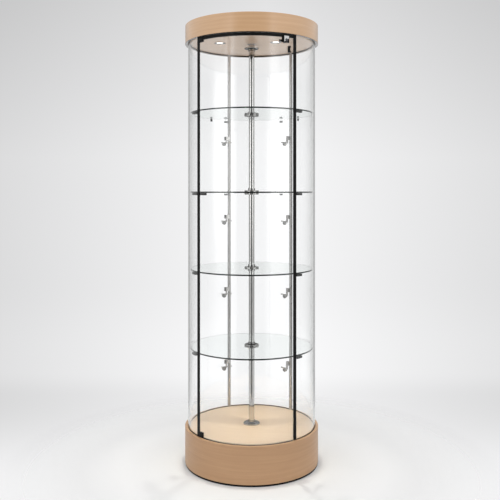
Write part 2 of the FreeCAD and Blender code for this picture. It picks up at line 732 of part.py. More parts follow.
def make_pivot_strips():
    """Strips that fill the glass slot under and over the door and hold its pivots."""
    reach = S["strip_angle"] + strip_seat - slack
    hole = S["pin_radius"] + S["running_gap"]
    depth = S["pin_reach"] + S["pin_end_gap"]
    sill = tube("sill_strip_blank", channel_inner, channel_outer, deck_underside, deck_level,
                -reach, reach * 2)
    sill_hole = rod("sill_strip_hole", hole, depth + S["overcut"], pivot_across, pivot_out,
                    deck_level - depth)
    head = tube("head_strip_blank", channel_inner, channel_outer, canopy_level, ceiling_top,
                -reach, reach * 2)
    head_hole = rod("head_strip_hole", hole, depth + S["overcut"], pivot_across, pivot_out,
                    canopy_level - S["overcut"])
    node(group("door_pivot_strips", [
        cut("sill_strip", sill, sill_hole), cut("head_strip", head, head_hole)]))


def make_lock():
    """Cam lock on the door: plate, case with its barrel, turning plug and tongue, keeper."""
    plate_outer = glass_outer + S["rail_cheek"] + S["fit_gap"] + S["plate_thickness"]
    plate_step = glass_outer + S["rail_cheek"] + S["fit_gap"]
    plate_low = lock_level - S["plate_drop"]
    step_level = rail_low - S["fit_gap"]
    sweep = degrees_along(S["plate_width"], glass_outer)
    plate = turned("lock_plate_blank", (
        (groove_outer, plate_low), (plate_outer, plate_low), (plate_outer, door_top),
        (plate_step, door_top), (plate_step, step_level), (groove_outer, step_level)),
        S["lock_angle"] - sweep / 2, sweep)
    hole = rod("lock_plate_hole", S["barrel_radius"] + S["fit_gap"], S["band_radius"],
               0, -tool_face, lock_level, "Y")
    node(cut("lock_plate", plate, swing(group("lock_plate_hole_place", [hole]),
                                        S["lock_angle"])))

    case_back = plate_outer + S["fit_gap"]
    case_face = case_back + S["case_depth"]
    barrel_end = glass_inner - S["barrel_reach"]
    case = block("lock_case", S["case_width"], S["case_depth"], S["case_height"],
                 -S["case_width"] / 2, -case_face, plate_low + S["fit_gap"])
    barrel = rod("lock_barrel", S["barrel_radius"], case_back - barrel_end,
                 0, -case_back, lock_level, "Y")
    nut = rod("lock_nut", S["barrel_radius"] + S["nut_wall"], S["nut_height"],
              0, -(barrel_end + S["nut_height"]), lock_level, "Y")
    bore = rod("lock_bore", S["plug_radius"] + S["running_gap"], S["band_radius"],
               0, -tool_face, lock_level, "Y")
    node(swing(cut("lock_housing", fused("lock_housing_solid", case, barrel, nut), bore),
               S["lock_angle"]))

    plug_face = case_face + S["plug_stand"]
    tongue_back = barrel_end - S["tongue_gap"]
    plug = rod("lock_plug", S["plug_radius"], plug_face - tongue_back,
               0, -plug_face, lock_level, "Y")
    key_slot = block("lock_key_slot", S["key_slot_width"], S["key_slot_depth"],
                     S["key_slot_length"], -S["key_slot_width"] / 2, -plug_face,
                     lock_level - S["key_slot_length"] / 2)
    tongue = block("lock_tongue", S["tongue_length"] + S["tongue_width"] / 2,
                   S["tongue_thickness"], S["tongue_width"], -S["tongue_length"],
                   -tongue_back, lock_level - S["tongue_width"] / 2)
    node(swing(cut("lock_cam", fused("lock_cam_solid", plug, tongue), key_slot),
               S["lock_angle"]))

    keeper_outer = glass_inner - S["rail_cheek"] - S["keeper_gap"]
    keeper_inner = tongue_back + S["keeper_gap"]
    node(arc_block("lock_keeper", keeper_inner, keeper_outer,
                   ceiling_level - S["keeper_drop"], ceiling_level,
                   S["lock_angle"], S["keeper_width"], glass_inner))


def make_pole():
    """Pole with a shoulder on the bearing's inner ring, and the fixed flange on the deck."""
    bore = S["pole_radius"] - S["pole_wall"]
    shoulder = S["pole_radius"] + S["pole_shoulder"]
    shoulder_top = bearing_top + S["shoulder_height"]
    top = ceiling_top + S["pole_stand"]
    node(turned("centre_pole", (
        (bore, pole_foot), (S["pole_radius"], pole_foot), (S["pole_radius"], bearing_top),
        (shoulder, bearing_top), (shoulder, shoulder_top), (S["pole_radius"], shoulder_top),
        (S["pole_radius"], top), (bore, top))))
    hole = S["pole_radius"] + S["pole_clearance"]
    plate_top = deck_level + S["flange_plate"]
    collar_top = deck_level + S["flange_collar"]
    bevel = S["flange_bevel"]
    node(turned("base_flange", (
        (hole, deck_level), (S["flange_radius"], deck_level),
        (S["flange_radius"], plate_top - bevel), (S["flange_radius"] - bevel, plate_top),
        (S["neck_radius"] + bevel, plate_top), (S["neck_radius"], plate_top + bevel),
        (S["neck_radius"], collar_top), (hole, collar_top))))


def make_shelves():
    """Round glass shelves on the pole."""
    hole = S["pole_radius"] + S["shelf_bore_gap"]
    for number in SHELVES:
        low = shelf_level[number]
        high = low + S["glass_thickness"]
        shelf = tube(f"shelf_{number}", hole, shelf_edge, low, high)
        rims = [(shelf_edge, low), (shelf_edge, high)]
        node(dress(shelf, "Chamfer", S["shelf_bevel"], rims))


def make_hubs():
    """Flanged hubs on the shelves, one more hung under the ceiling, discs, grub screws."""
    bore = S["pole_radius"] + S["fit_gap"] / 2
    feet = {str(number): (shelf_level[number] + S["glass_thickness"], 1) for number in SHELVES}
    feet["top"] = (ceiling_level - S["top_hub_drop"], -1)
    hubs = []
    screws = []
    for name, (foot, way) in feet.items():
        plate = foot + way * S["hub_plate"]
        collar = plate + way * S["hub_collar"]
        hub = turned(f"hub_{name}_blank", (
            (bore, foot), (S["hub_radius"], foot), (S["hub_radius"], plate),
            (S["neck_radius"], plate), (S["neck_radius"], collar), (bore, collar)))
        dress(hub, "Fillet", S["hub_rounding"], [(S["hub_radius"], plate)])
        screw_level = (plate + collar) / 2
        screw_hole = rod(f"grub_hole_{name}", S["grub_radius"] + S["fit_gap"], S["hub_radius"],
                         0, -S["hub_radius"], screw_level, "Y")
        hubs.append(cut(f"hub_{name}", hub, screw_hole))
        screws.append(rod(f"grub_screw_{name}", S["grub_radius"],
                          S["neck_radius"] - S["pole_radius"] - S["fit_gap"],
                          0, -S["neck_radius"], screw_level, "Y"))
    node(group("shelf_hubs", hubs))
    node(group("hub_grub_screws", screws))
    discs = []
    for number in SHELVES:
        top = shelf_level[number]
        low = top - S["hub_disc"]
        disc = tube(f"hub_disc_{number}", bore, S["hub_radius"], low, top)
        discs.append(dress(disc, "Fillet", S["hub_rounding"], [(S["hub_radius"], low)]))
    node(group("shelf_hub_discs", discs))


def make_ceiling_bush():
    """Plain bush that steadies the pole's upper end."""
    hole = S["pole_radius"] + S["running_gap"]
    wall = hole + S["bush_wall"]
    rim = wall + S["bush_lip"]
    top = ceiling_top + S["bush_flange"]
    node(turned("ceiling_bush", (
        (hole, ceiling_level), (wall, ceiling_level), (wall, ceiling_top),
        (rim, ceiling_top), (rim, top), (hole, top))))


def make_bearing():
    """Ball bearing of the carousel and the housing that hangs it under the deck."""
    seat = S["bearing_radius"] + S["fit_gap"] / 2
    wall = seat + S["housing_wall"]
    mouth = S["pole_radius"] + S["pole_shoulder"] + S["housing_mouth"]
    flange_low = deck_underside - S["housing_wall"]
    node(turned("bearing_housing", (
        (mouth, bearing_top), (mouth, deck_underside), (S["housing_flange"], deck_underside),
        (S["housing_flange"], flange_low), (wall, flange_low), (wall, bearing_low),
        (seat, bearing_low), (seat, bearing_top))))
    inner_bore = S["pole_radius"] + S["fit_gap"] / 2
    inner_rim = inner_bore + S["race_wall"]
    outer_rim = S["bearing_radius"] - S["race_wall"]
    track = (inner_rim + outer_rim) / 2
    middle = (bearing_top + bearing_low) / 2
    outer_ring = tube("bearing_outer_blank", outer_rim, S["bearing_radius"],
                      bearing_low, bearing_top)
    inner_ring = tube("bearing_inner_blank", inner_bore, inner_rim, bearing_low, bearing_top)
    outer_track = make_track("outer_track", track, S["ball_radius"] + S["ball_clearance"], middle)
    inner_track = make_track("inner_track", track, S["ball_radius"] + S["fit_gap"] / 2, middle)
    node(cut("bearing_outer_ring", outer_ring, outer_track))
    rotor = [cut("bearing_inner_ring", inner_ring, inner_track)]
    for number in range(BALLS):
        ball = doc.addObject("Part::Sphere", f"bearing_ball_{number + 1}")
        tie(ball, "Radius", S["ball_radius"])
        angle = as_size(360 / BALLS * number)
        move(ball, track * sine(angle), -(track * cosine(angle)), middle)
        rotor.append(ball)
    node(group("bearing_inner_ring_and_balls", rotor))


def make_track(label, radius, section, level):
    """Ring-shaped groove for the balls, with its seam turned away from the rings' seams."""
    torus = doc.addObject("Part::Torus", label)
    tie(torus, "Radius1", radius)
    tie(torus, "Radius2", section)
    move(torus, 0, 0, level)
    return swing(torus, SEAM_TURN)


def make_drive():
    """Geared motor on the floor board, and the coupling that turns the pole."""
    bore = S["motor_shaft"] + S["running_gap"]
    blind = gearbox_top - S["shaft_reach"] - S["shaft_end_gap"]
    node(turned("gear_motor", (
        (0, floor_board_top), (S["motor_radius"], floor_board_top),
        (S["motor_radius"], motor_top), (S["gearbox_radius"], motor_top),
        (S["gearbox_radius"], gearbox_top), (bore, gearbox_top), (bore, blind), (0, blind))))
    grip = S["pole_radius"] + S["fit_gap"] / 2
    outside = grip + S["coupling_wall"]
    node(turned("drive_coupling", (
        (0, gearbox_top - S["shaft_reach"]), (S["motor_shaft"], gearbox_top - S["shaft_reach"]),
        (S["motor_shaft"], coupling_low), (outside, coupling_low),
        (outside, pole_foot + S["coupling_grip"]), (grip, pole_foot + S["coupling_grip"]),
        (grip, pole_foot), (0, pole_foot))))


def make_pads(label, shelves, kind, gap):
    """Small blocks bonded to the inside of the glass, just under the rims of some shelves."""
    width, height, reach = (S[f"{kind}_{what}"] for what in ("width", "height", "reach"))
    pads = []
    for number in shelves:
        top = shelf_level[number] - gap
        for side, angle in (("left", -S[f"left_{kind}_angle"]), ("right", S[f"right_{kind}_angle"])):
            pads.append(arc_block(f"{label}_{side}_{number}", groove_inner - reach, groove_inner,
                                  top - height, top, angle, width, groove_inner))
    return pads


def make_shelf_pads():
    """Wide pads beside the door, narrow pads and grey studs at the back."""
    wide = make_pads("front_shelf_pads", SHELVES, "front_pad", S["pad_gap"])
    top = shelf_level[BRIDGED] - S["pad_gap"]
    start = S["left_front_pad_angle"] + degrees_along(S["front_pad_width"] / 2, groove_inner)
    bridge = tube("pad_bridge", groove_inner - S["front_pad_reach"],
                  groove_inner - S["bridge_inset"], top - S["front_pad_height"], top,
                  -start, start - S["bridge_angle"])
    place = SHELVES.index(BRIDGED) * 2
    wide[place] = fused("bridged_pad", wide[place], bridge)
    node(group("front_shelf_pads", wide))
    node(group("rear_shelf_pads",
               make_pads("rear_shelf_pads", PADDED, "rear_pad", S["pad_gap"])))
    node(group("rear_glass_studs",
               make_pads("rear_glass_studs", STUDDED, "stud", S["stud_gap"])))


def make_lamp(name, level, post, angle):
    """One spot lamp: returns its clamp, and adds the tilting head as a node."""
    cheek = S["block_side"] + S[post + "_cheek_inset"]
    axis_out = -(glass_middle - S["pivot_inset"])
    axis_up = level - S["pivot_drop"]
    back = -(glass_middle - S["block_inset"])
    block_low = level - S["block_height"] / 2
    cheek_low = axis_up - S["cheek_depth"] / 2
    cheek_front = axis_out + S["cheek_depth"] / 2
    body = block(name + "_block", S[post + "_block_width"], S["block_depth"], S["block_height"],
                 S["block_side"], back, block_low)
    bracket = block(name + "_bracket", S["cheek_thickness"], cheek_front - back,
                    S["block_height"], cheek, back, block_low)
    arm = block(name + "_cheek", S["cheek_thickness"], S["cheek_depth"], level - cheek_low,
                cheek, axis_out - S["cheek_depth"] / 2, cheek_low)
    seat = rod(name + "_post_seat", S["post_radius"] + S["fit_gap"],
               S["block_height"] + S["overcut"] * 2, 0, -glass_middle,
               block_low - S["overcut"])
    pin_hole = rod(name + "_pin_hole", S["pin_radius"] + S["running_gap"],
                   S["cheek_thickness"] + S["overcut"] * 2, cheek - S["overcut"],
                   axis_out, axis_up, "X")
    clamp = cut(name + "_clamp", fused(name + "_clamp_solid", body, bracket, arm),
                seat, pin_hole)
    swing(clamp, angle)

    head_across = cheek + S["cheek_thickness"] + S["head_gap"] + S["head_radius"]
    if post == "left":
        knob_start = cheek - S["left_knob_stand"] - S["knob_length"]
        pin_start = cheek - S["left_knob_stand"]
        pin_end = head_across
    else:
        knob_start = head_across + S["head_radius"] + S["right_knob_stand"]
        pin_start = cheek
        pin_end = knob_start
    head_up = axis_up - S["head_drop"]
    face_out = axis_out + S["head_depth"] / 2
    can = rod(name + "_can", S["head_radius"], S["head_depth"], head_across,
              face_out - S["head_depth"], head_up, "Y")
    pin = rod(name + "_pin", S["pin_radius"], pin_end - pin_start, pin_start,
              axis_out, axis_up, "X")
    opening = rod(name + "_opening", S["head_bore"], S["head_bore_depth"] + S["overcut"],
                  head_across, face_out - S["head_bore_depth"], head_up, "Y")
    shell = fused(name + "_shell_solid", cut(name + "_shell", can, opening), pin)
    lens = rod(name + "_lens", S["head_bore"] - S["fit_gap"], S["lens_thickness"], head_across,
               face_out - S["head_bore_depth"], head_up, "Y")
    knob = rod(name + "_knob", S["knob_radius"], S["knob_length"], knob_start,
               axis_out, axis_up, "X")
    node(swing(group(name, [shell, lens, knob]), angle))
    return clamp


def make_lamps():
    """Four spot lamps on each rear post."""
    clamps = []
    for post, angle in (("left", left_post), ("right", right_post)):
        for number in SHELVES:
            level = shelf_level[number] - S[f"lamp_drop_{number}"]
            clamps.append(make_lamp(f"spot_lamp_{post}_{number}", level, post, angle))
    node(group("lamp_clamps", clamps))


def make_ceiling_lights():
    """Two recessed lights in the ceiling."""
    bezels = []
    lenses = []
    bore = S["can_radius"] - S["can_wall"]
    for side, across, out in light_places():
        flange_low = ceiling_level - S["bezel_flange"]
        can_top = ceiling_level + S["can_height"]
        bezel = turned(f"{side}_light_bezel", (
            (bore, flange_low), (S["bezel_radius"], flange_low),
            (S["bezel_radius"], ceiling_level), (S["can_radius"], ceiling_level),
            (S["can_radius"], can_top), (bore, can_top)))
        move(bezel, across, out)
        bezels.append(bezel)
        lenses.append(rod(f"{side}_light_lens", bore - S["fit_gap"], S["lens_thickness"],
                          across, out, ceiling_level))
    node(group("ceiling_light_bezels", bezels))
    node(group("ceiling_light_lenses", lenses))


def make_supply():
    """Lamp driver on the ceiling panel and the mains inlet in the plinth."""
    node(block("lamp_driver", S["driver_length"], S["driver_width"], S["driver_height"],
               -S["driver_length"] / 2, S["driver_setback"], ceiling_top))
    face = S["band_radius"] - S["inlet_set_back"]
    width = S["inlet_width"] - S["fit_gap"] * 2
    height = S["inlet_height"] - S["fit_gap"] * 2
    low = S["inlet_level"] + S["fit_gap"]
    shell = block("inlet_shell", width, S["inlet_depth"], height,
                  -width / 2, face - S["inlet_depth"], low)
    socket_back = face - S["socket_depth"]
    hollow = block("inlet_hollow", S["socket_width"], S["socket_depth"] + S["overcut"],
                   S["socket_height"], -S["socket_width"] / 2, socket_back,
                   low + (height - S["socket_height"]) / 2)
    contacts = []
    contact_low = low + (height - S["contact_height"]) / 2
    for name, place in (("left", -1), ("middle", 0), ("right", 1)):
        rise = S["contact_step"] if place == 0 else 0
        contacts.append(block(f"inlet_{name}_contact", S["contact_width"], S["contact_length"],
                              S["contact_height"],
                              place * S["contact_pitch"] - S["contact_width"] / 2,
                              socket_back, contact_low + rise))
    node(fused("mains_inlet", cut("inlet_case", shell, hollow), *contacts))


def check_document():
    """Stop if any object failed, or any sub-part has no sound shape."""
    doc.recompute()
    for thing in doc.Objects:
        if "Invalid" in thing.State or "Error" in thing.State:
            raise RuntimeError(f"{thing.Label} failed: {thing.State}")
    for part in nodes:
        if part.Shape.isNull() or not part.Shape.isValid() or not part.Shape.Solids:
            raise RuntimeError(f"{part.Label} has no sound shape")


def write_nodes():
    """Write each sub-part to its own file."""
    os.makedirs("parts", exist_ok=True)
    for part in nodes:
        part.Shape.exportStep(os.path.join("parts", part.Label + ".step"))
    print(len(nodes), "sub-parts,", sum(len(part.Shape.Solids) for part in nodes), "solids")


make_plinth()
make_canopy()
make_fixed_glass()
make_side_strips()
make_rear_posts()
make_door()
make_pivot_strips()
make_lock()
make_pole()
make_shelves()
make_hubs()
make_ceiling_bush()
make_bearing()
make_drive()
make_shelf_pads()
make_lamps()
make_ceiling_lights()
make_supply()
check_document()
write_nodes()
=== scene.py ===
import json
import math

import bmesh
import bpy
from mathutils import Matrix, Vector


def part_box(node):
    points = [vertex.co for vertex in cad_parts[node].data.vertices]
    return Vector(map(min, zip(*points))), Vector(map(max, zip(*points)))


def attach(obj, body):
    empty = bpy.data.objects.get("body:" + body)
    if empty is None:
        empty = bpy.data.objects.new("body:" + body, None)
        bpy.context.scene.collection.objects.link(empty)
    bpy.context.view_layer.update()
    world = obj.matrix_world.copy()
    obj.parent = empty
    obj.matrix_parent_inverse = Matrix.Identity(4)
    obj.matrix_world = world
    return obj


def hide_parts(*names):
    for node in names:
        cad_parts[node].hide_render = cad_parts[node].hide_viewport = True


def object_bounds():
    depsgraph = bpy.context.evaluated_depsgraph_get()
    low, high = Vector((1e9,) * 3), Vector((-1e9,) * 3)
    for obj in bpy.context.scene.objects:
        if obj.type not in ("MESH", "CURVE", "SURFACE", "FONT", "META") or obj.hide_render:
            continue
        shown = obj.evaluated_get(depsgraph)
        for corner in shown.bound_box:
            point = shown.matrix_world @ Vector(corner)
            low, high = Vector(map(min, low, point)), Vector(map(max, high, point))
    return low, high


# Looks of the round glass display tower. Metres, +Z up, the door faces -Y.

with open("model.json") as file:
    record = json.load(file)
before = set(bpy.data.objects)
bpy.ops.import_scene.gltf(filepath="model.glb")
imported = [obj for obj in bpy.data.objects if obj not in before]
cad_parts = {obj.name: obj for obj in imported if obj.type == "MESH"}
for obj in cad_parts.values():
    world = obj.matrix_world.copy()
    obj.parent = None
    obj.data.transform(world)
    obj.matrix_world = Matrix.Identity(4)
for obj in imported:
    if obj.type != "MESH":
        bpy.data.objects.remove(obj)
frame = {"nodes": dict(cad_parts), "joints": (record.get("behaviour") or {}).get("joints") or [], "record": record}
cad_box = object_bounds()


def paint(red, green, blue):
    """A screen colour, 0 to 255, as the linear colour that shaders take."""
    def linear(value):
        value /= 255
        return value / 12.92 if value <= 0.04045 else ((value + 0.055) / 1.055) ** 2.4
    return linear(red), linear(green), linear(blue), 1.0


def grey(value):
    """A neutral linear colour."""
    return value, value, value, 1.0


# ---------------------------------------------------------------- shader building

def port(sockets, name):
    """A socket by its number, or the enabled one of a name."""
    if isinstance(name, int):
        return sockets[name]
    return next(socket for socket in sockets if socket.enabled and socket.name == name)


class Wire:
    """A socket that ordinary arithmetic works on."""

    def __init__(self, look, socket):
        self.look = look
        self.socket = socket

    def other(self, name):
        """Another output of the same node."""
        return Wire(self.look, port(self.socket.node.outputs, name))

    def __add__(self, value):
        return self.look.maths("ADD", self, value)

    def __radd__(self, value):
        return self.look.maths("ADD", value, self)

    def __sub__(self, value):
        return self.look.maths("SUBTRACT", self, value)

    def __rsub__(self, value):
        return self.look.maths("SUBTRACT", value, self)

    def __mul__(self, value):
        return self.look.maths("MULTIPLY", self, value)

    def __rmul__(self, value):
        return self.look.maths("MULTIPLY", value, self)

    def __truediv__(self, value):
        return self.look.maths("DIVIDE", self, value)

    def __rtruediv__(self, value):
        return self.look.maths("DIVIDE", value, self)

    def __gt__(self, value):
        return self.look.maths("GREATER_THAN", self, value)

    def __lt__(self, value):
        return self.look.maths("LESS_THAN", self, value)


class Look:
    """A node tree being built, for a material or for the world."""

    def __init__(self, owner):
        owner.use_nodes = True
        self.owner = owner
        self.tree = owner.node_tree
        self.tree.nodes.clear()

    def node(self, kind, settings=None, sockets=None, output=0):
        """Add a node: its settings first, then its sockets. Returns one output."""
        made = self.tree.nodes.new("ShaderNode" + kind)
        for name, value in (settings or {}).items():
            setattr(made, name, value)
        for name, value in (sockets or {}).items():
            socket = port(made.inputs, name)
            if isinstance(value, Wire):
                self.tree.links.new(value.socket, socket)
            else:
                socket.default_value = value
        if made.outputs:
            return Wire(self, port(made.outputs, output))
        return None

    def maths(self, operation, *values):
        """One Math node."""
        return self.node("Math", {"operation": operation}, dict(enumerate(values)))

    def limited(self, value, low=0.0, high=1.0):
        """A value held between two bounds."""
        return self.maths("MINIMUM", self.maths("MAXIMUM", value, low), high)

    def ease(self, value, start, end):
        """0 before start, 1 after end, and a soft step between them."""
        return self.node("MapRange", {"interpolation_type": "SMOOTHSTEP"},
                         {"Value": value, "From Min": start, "From Max": end})

    def blend(self, share, first, second):
        """A colour between two."""
        return self.node("Mix", {"data_type": "RGBA"},
                         {"Factor": share, "A": first, "B": second}, "Result")

    def coordinates(self, output):
        """X, Y and Z of a texture coordinate."""
        split = self.node("SeparateXYZ", sockets={"Vector": self.node("TexCoord", output=output)})
        return split, split.other("Y"), split.other("Z")

    def place(self):
        """X, Y and Z of the surface point, in metres."""
        return self.coordinates("Object")

    def normal(self):
        """X, Y and Z of the normal, which turn with the piece."""
        return self.coordinates("Normal")

    def length(self, x, y):
        """Length of two values as a vector."""
        return self.maths("SQRT", x * x + y * y)

    def vector(self, x, y, z):
        """Three values as one vector."""
        return self.node("CombineXYZ", sockets={"X": x, "Y": y, "Z": z})

    def noise(self, vector, scale, detail=2.0, roughness=0.5):
        """Noise from 0 to 1."""
        return self.node("TexNoise", sockets={"Vector": vector, "Scale": scale, "Detail": detail,
                                              "Roughness": roughness})

    def bump(self, height, distance, strength=1.0):
        """A normal bent by a height."""
        return self.node("Bump", sockets={"Height": height, "Distance": distance,
                                          "Strength": strength})

    def principled(self, sockets):
        """The main shader."""
        return self.node("BsdfPrincipled", sockets=sockets)

    def close(self, surface, volume=None):
        """Link the output and hand over the material."""
        sockets = {"Surface": surface}
        if volume is not None:
            sockets["Volume"] = volume
        self.node("OutputMaterial", sockets=sockets)
        return self.owner


def new_look(name):
    """An empty look for a new material."""
    return Look(bpy.data.materials.new(name))


# ---------------------------------------------------------------- wood

BAND_RADIUS = cad_box[1][0]
DEPTH_STRETCH = 20.0
FLECK_BROWN = paint(128, 90, 58)
# Dark brown of the painted shade under the bands.
PAINTED_UNDERSIDE_SHADE = paint(40, 28, 18)
PLY = 0.0018


def veneer_finish(look, along, across, depth, pale, deep, gloss, painted=0.0):
    """Lacquered beech: soft figure, fine lines and short flecks that run along the grain.

    painted is 1 where painted shade darkens the wood almost to black.
    """
    figure = look.noise(look.vector(along * 3.0, across * 110.0, depth), 1.0, 3.0, 0.5)
    lines = look.noise(look.vector(along * 14.0, across * 900.0, depth), 1.0, 2.0, 0.6)
    cloud = look.noise(look.vector(along, across * 2.0, depth), 4.0, 2.0)
    fleck_field = look.noise(look.vector(along * 130.0, across * 1500.0, depth), 1.0, 1.0)
    flecks = look.ease(fleck_field, 0.62, 0.74)
    tone = look.limited((figure - 0.5) + (lines - 0.5) * 0.6 + (cloud - 0.5) * 0.5 + 0.5)
    wood = look.blend(tone, pale, deep)
    wood = look.blend(flecks * 0.16, wood, FLECK_BROWN)
    # Painted shade: where painted is 1, the wood goes dark brown as if in shadow.
    wood = look.blend(painted, wood, PAINTED_UNDERSIDE_SHADE)
    height = lines * 0.6 - flecks * 0.4
    return look.close(look.principled({
        "Base Color": wood,
        "Roughness": 0.36 + lines * 0.12,
        "Normal": look.bump(height, 0.0001, 0.4),
        "Coat Weight": gloss,
        "Coat Roughness": 0.12,
        "Coat IOR": 1.7,
        "Specular IOR Level": 0.2,
    }))


def band_veneer(name, pale, deep, gloss):
    """Veneer bent round a band, with its joint at the back and painted shade on its underside."""
    look = new_look(name)
    x, y, z = look.place()
    angle = look.maths("ARCTAN2", x, 0.0 - y)
    radius = look.length(x, y)
    _, _, facing_up = look.normal()
    # Faces that look down get painted shade.
    return veneer_finish(look, angle * BAND_RADIUS, z, radius * DEPTH_STRETCH, pale, deep, gloss,
                         facing_up < -0.5)


def flat_veneer(name, pale, deep):
    """Veneer laid flat, grain from side to side."""
    look = new_look(name)
    x, y, z = look.place()
    return veneer_finish(look, x, y, z * DEPTH_STRETCH, pale, deep, 0.25)


def plywood():
    """Raw plywood with its plies on the edges."""
    look = new_look("plywood")
    x, y, z = look.place()
    ply = look.maths("PINGPONG", z, PLY) / PLY
    grain = look.noise(look.vector(x * 3.0, y * 160.0, z * 90.0), 1.0, 3.0)
    tone = look.limited(ply * 0.45 + grain * 0.6)
    wood = look.blend(tone, paint(214, 184, 142), paint(168, 128, 84))
    return look.close(look.principled({
        "Base Color": wood,
        "Roughness": 0.62 + grain * 0.2,
        "Normal": look.bump(grain, 0.0003, 0.4),
    }))


def ceiling_laminate():
    """Glossy grey-beige laminate under the canopy."""
    look = new_look("ceiling_laminate")
    x, y, z = look.place()
    cloud = look.noise(look.vector(x * 2.0, y * 9.0, z), 3.0, 3.0)
    speck = look.noise(look.vector(x, y, z), 900.0, 1.0)
    tone = look.limited(cloud * 0.9 + (speck - 0.5) * 0.3)
    shade = look.blend(tone, paint(236, 204, 176), paint(220, 186, 156))
    return look.close(look.principled({
        "Base Color": shade,
        "Roughness": 0.2 + speck * 0.06,
        "Specular IOR Level": 0.25,
    }))


# ---------------------------------------------------------------- glass

GLASS_IOR = 1.5
RIM_DEPTH = 0.001


def clear_glass(look, edge, edge_colour, tint, density):
    """Clear glass, tinted through its depth. edge is 1 on the ground edges."""
    smear = look.noise(look.node("TexCoord", output="Object"), 5.0, 3.0)
    body = look.principled({
        "Base Color": look.blend(edge, grey(0.995), edge_colour),
        "Metallic": edge,
        "Roughness": edge * 0.3 + look.ease(smear, 0.55, 0.9) * 0.012,
        "IOR": GLASS_IOR,
        "Transmission Weight": 1.0,
    })
    open_way = look.node("BsdfTransparent", sockets={"Color": grey(0.965)})
    shadow = look.node("LightPath", output="Is Shadow Ray")
    surface = look.node("MixShader", sockets={0: shadow, 1: body, 2: open_way})
    depth = look.node("VolumeAbsorption", output="Volume",
                      sockets={"Color": tint, "Density": density})
    return look.close(surface, depth)


def curved_glass():
    """Bent panes: every edge but the broad faces is ground and dark."""
    look = new_look("curved_glass")
    x, y, _ = look.place()
    normal_x, normal_y, _ = look.normal()
    outward = (normal_x * x + normal_y * y) / look.length(x, y)
    edge = look.maths("ABSOLUTE", outward) < 0.7
    return clear_glass(look, edge, paint(26, 36, 33), (0.87, 0.92, 0.91, 1.0), 9.0)


def shelf_glass():
    """Round shelves: the ground rim shows the dark green of the glass."""
    look = new_look("shelf_glass")
    x, y, _ = look.place()
    rim_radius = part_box("shelf_1")[1][0]
    rim = look.length(x, y) > rim_radius - RIM_DEPTH
    inside = look.node("NewGeometry", output="Backfacing")
    return clear_glass(look, rim * (1.0 - inside), paint(12, 28, 24), (0.80, 0.93, 0.90, 1.0),
                       22.0)


# ---------------------------------------------------------------- metals, plastics, lights

def steel(name, colour, rough, spread, stretch, scratch):
    """Steel worked along one way. stretch scales X, Y and Z, so a small number is the long way."""
    look = new_look(name)
    x, y, z = look.place()
    marks = look.noise(look.vector(x * stretch[0], y * stretch[1], z * stretch[2]), 1.0, 3.0, 0.65)
    stain = look.noise(look.vector(x, y, z), 14.0, 2.0)
    tone = look.limited((marks - 0.5) * 0.6 + (stain - 0.5) * 0.5 + 0.5)
    darker = tuple(channel * 0.84 for channel in colour[:3]) + (1.0,)
    return look.close(look.principled({
        "Base Color": look.blend(tone, colour, darker),
        "Metallic": 1.0,
        "Roughness": rough + marks * spread,
        "Specular Tint": grey(0.3),
        "Normal": look.bump(marks, 0.00005, scratch),
    }))


def black_finish(name, colour, rough, grain):
    """Black anodised or painted parts with a fine texture and a trace of dust."""
    look = new_look(name)
    x, y, z = look.place()
    fine = look.noise(look.vector(x, y, z * 0.35), grain, 2.0)
    dust = look.noise(look.vector(x, y, z), 22.0, 3.0)
    tone = look.limited(fine * 0.5 + look.ease(dust, 0.5, 0.8) * 0.5)
    lighter = tuple(channel * 2.0 + 0.002 for channel in colour[:3]) + (1.0,)
    return look.close(look.principled({
        "Base Color": look.blend(tone, colour, lighter),
        "Roughness": rough + fine * 0.14,
        "Specular IOR Level": 0.14,
        "Normal": look.bump(fine, 0.0001, 0.25),
    }))


def moulded(name, pale, deep, rough, grain):
    """Moulded plastic or nylon with a faint texture."""
    look = new_look(name)
    x, y, z = look.place()
    fine = look.noise(look.vector(x, y, z), grain, 2.0)
    cloud = look.noise(look.vector(x, y, z), 30.0, 2.0)
    return look.close(look.principled({
        "Base Color": look.blend(cloud, pale, deep),
        "Roughness": rough + fine * 0.15,
        "Normal": look.bump(fine, 0.0001, 0.3),
    }))


def cast_aluminium():
    """Cast metal with a pebbled skin."""
    look = new_look("cast_aluminium")
    x, y, z = look.place()
    pebbles = look.node("TexVoronoi", sockets={"Vector": look.vector(x, y, z), "Scale": 700.0})
    cloud = look.noise(look.vector(x, y, z), 40.0, 3.0)
    return look.close(look.principled({
        "Base Color": look.blend(cloud, grey(0.62), grey(0.46)),
        "Metallic": 1.0,
        "Roughness": 0.42 + pebbles * 0.2,
        "Normal": look.bump(pebbles, 0.0002, 0.4),
    }))


def lit_lens(name, centre, rim, strength):
    """Frosted lens, lit from behind, with fine prisms."""
    look = new_look(name)
    x, y, z = look.place()
    prisms = look.node("TexVoronoi", sockets={"Vector": look.vector(x, y, z * 0.2), "Scale": 420.0})
    glow = look.blend(look.limited(prisms * 0.9), centre, rim)
    return look.close(look.principled({
        "Base Color": glow,
        "Roughness": 0.25 + prisms * 0.1,
        "Emission Color": glow,
        "Emission Strength": strength,
        "Normal": look.bump(prisms, 0.0003, 0.3),
    }))


def lamp_lens():
    """Unlit prismatic lens over a pale reflector."""
    look = new_look("lamp_lens")
    x, y, z = look.place()
    prisms = look.node("TexVoronoi", sockets={"Vector": look.vector(x, y, z), "Scale": 700.0})
    return look.close(look.principled({
        "Base Color": look.blend(prisms, grey(0.48), grey(0.30)),
        "Roughness": 0.12 + prisms * 0.2,
        "Coat Weight": 1.0,
        "Coat Roughness": 0.04,
        "Normal": look.bump(prisms, 0.0004, 0.5),
    }))


